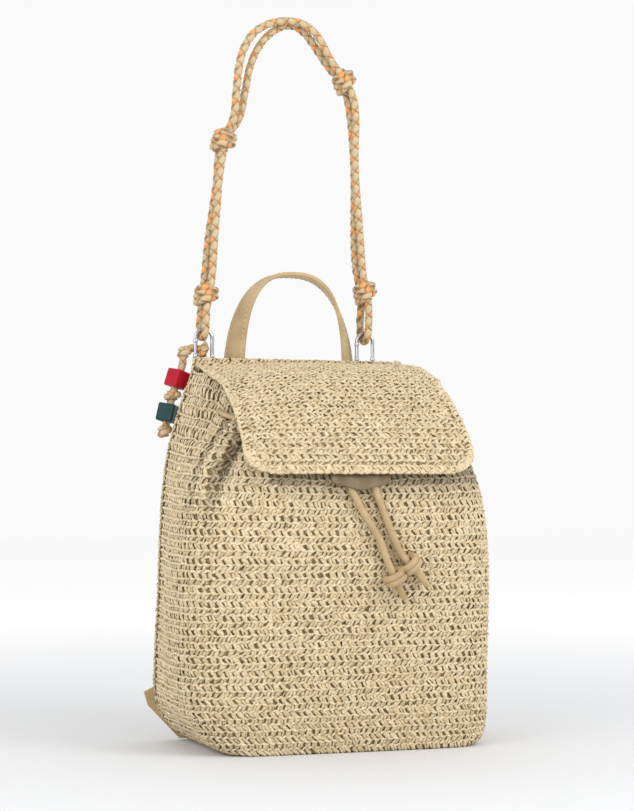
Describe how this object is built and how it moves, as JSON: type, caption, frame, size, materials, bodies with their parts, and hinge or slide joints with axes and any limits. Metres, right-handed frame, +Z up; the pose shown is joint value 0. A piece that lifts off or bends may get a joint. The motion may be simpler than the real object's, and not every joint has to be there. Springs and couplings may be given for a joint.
{
  "type": "woven straw backpack",
  "caption": "Hollow crocheted straw backpack with a gathered mouth under a flap, a leather top handle and a raised doubled cord strap on two oval rings.",
  "frame": {"origin": "the point under the top of the raised cord strap, where a hook holds the bag up", "axes": "+Z up, -Y the front with the flap, +X to the right as seen from the front"},
  "size_m": [0.2622, 0.1879, 0.6055],
  "materials": {
    "straw": "crocheted paper straw, matt cream",
    "leather": "smooth tan leather with stitched edges",
    "braided_cord": "four-strand braided cord, three beige strands and one orange",
    "metal": "polished",
    "red_bead": "glossy",
    "teal_bead": "glossy"
  },
  "bodies": {
    "root": {"body_wrap": "straw", "back_panel": "straw", "base_panel": "straw", "flap": "straw", "front_tab": "leather", "drawcord_left": "leather", "drawcord_right": "leather", "rim_drawcord": "leather", "top_handle": "leather", "ring_tab_left": "leather", "ring_tab_right": "leather", "corner_patch_left": "leather", "corner_patch_right": "leather", "shoulder_strap_left": "leather", "shoulder_strap_right": "leather", "ring_left": "metal", "ring_right": "metal", "slide_left": "metal", "slide_right": "metal", "strap_knot_left_low": "braided_cord", "strap_knot_left_high": "braided_cord", "strap_knot_right_high": "braided_cord", "strap_knot_right_low": "braided_cord", "stopper_knot": "braided_cord", "charm_knot_top": "braided_cord", "charm_knot_middle": "braided_cord", "charm_knot_end": "braided_cord", "strap_loop_left": "braided_cord", "strap_loop_right": "braided_cord", "strap_left_a": "braided_cord", "strap_left_b": "braided_cord", "strap_top_a": "braided_cord", "strap_top_b": "braided_cord", "strap_right_a": "braided_cord", "strap_right_b": "braided_cord", "charm_cord_top": "braided_cord", "charm_cord_middle": "braided_cord", "charm_cord_low": "braided_cord", "red_cube": "red_bead", "teal_cube": "teal_bead"}
  },
  "joints": []
}
